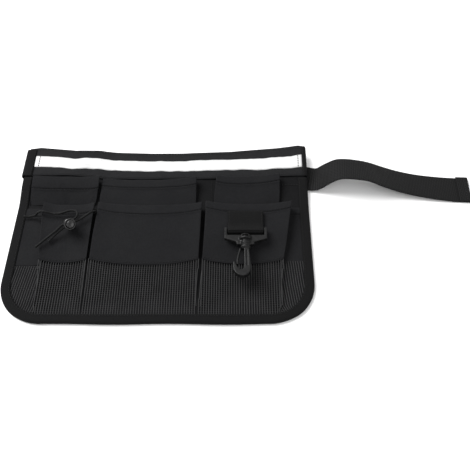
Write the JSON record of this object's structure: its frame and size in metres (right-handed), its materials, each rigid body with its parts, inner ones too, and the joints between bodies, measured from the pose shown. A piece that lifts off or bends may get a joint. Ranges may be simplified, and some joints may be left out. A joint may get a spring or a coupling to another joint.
{
  "type": "waist tool pouch",
  "caption": "Flat cloth waist pouch with tiers of pockets, mesh pocket fronts, a webbing belt, a swivel snap hook and a cord lock, lying on its back.",
  "frame": {"origin": "on the back face of the belt, behind the middle of the waistband, in the plane that the pouch lies on", "axes": "+X along the waistband towards the belt's free end, +Y across the pouch towards the waistband's upper edge, +Z out of the pockets"},
  "size_m": [0.5135, 0.2283, 0.0321],
  "materials": {
    "cloth": "black woven polyester, matt with a faint sheen",
    "webbing": "black ribbed webbing and binding tape",
    "mesh": "black open knitted mesh",
    "reflective": "silver-white reflective tape",
    "plastic": "black moulded plastic, satin",
    "cord": "black braided elastic"
  },
  "bodies": {
    "pouch": {"back_panel": "cloth", "edge_binding": "webbing", "waistband": "cloth", "reflective_strip": "reflective", "band_end_left": "webbing", "band_end_right": "webbing", "upper_pocket_left": "cloth", "upper_pocket_centre": "cloth", "upper_pocket_right": "cloth", "left_pocket_cloth": "cloth", "left_pocket_mesh": "mesh", "centre_pocket_cloth": "cloth", "centre_pocket_mesh": "mesh", "right_pocket_cloth": "cloth", "right_pocket_mesh": "mesh", "belt": "webbing", "belt_buckle": "plastic", "hook_tab": "webbing", "cord_lock_barrel": "plastic", "cord_left": "cord", "cord_right": "cord"},
    "loop": {"hook_loop": "plastic"},
    "hook": {"snap_hook": "plastic"},
    "gate": {"hook_gate": "plastic"},
    "button": {"cord_lock_button": "plastic"}
  },
  "joints": [
    {"name": "loop_hinge", "type": "hinge", "parent": "pouch", "child": "loop", "pos_m": [0.0924, -0.108, 0.0177], "axis": [-1, 0, 0], "range_deg": [0, 95]},
    {"name": "hook_swivel", "type": "hinge", "parent": "loop", "child": "hook", "pos_m": [0.0919, -0.12, 0.02], "axis": [0, 1, 0], "continuous": true},
    {"name": "gate_flex", "type": "hinge", "parent": "hook", "child": "gate", "pos_m": [0.0865, -0.1326, 0.02], "axis": [0, 0, 1], "range_deg": [0, 14], "stiffness_Nm_per_rad": 0.05},
    {"name": "button_press", "type": "slide", "parent": "pouch", "child": "button", "axis": [-0.4243, 0.5657, -0.7071], "range_m": [0, 0.0035], "stiffness_N_per_m": 400}
  ]
}
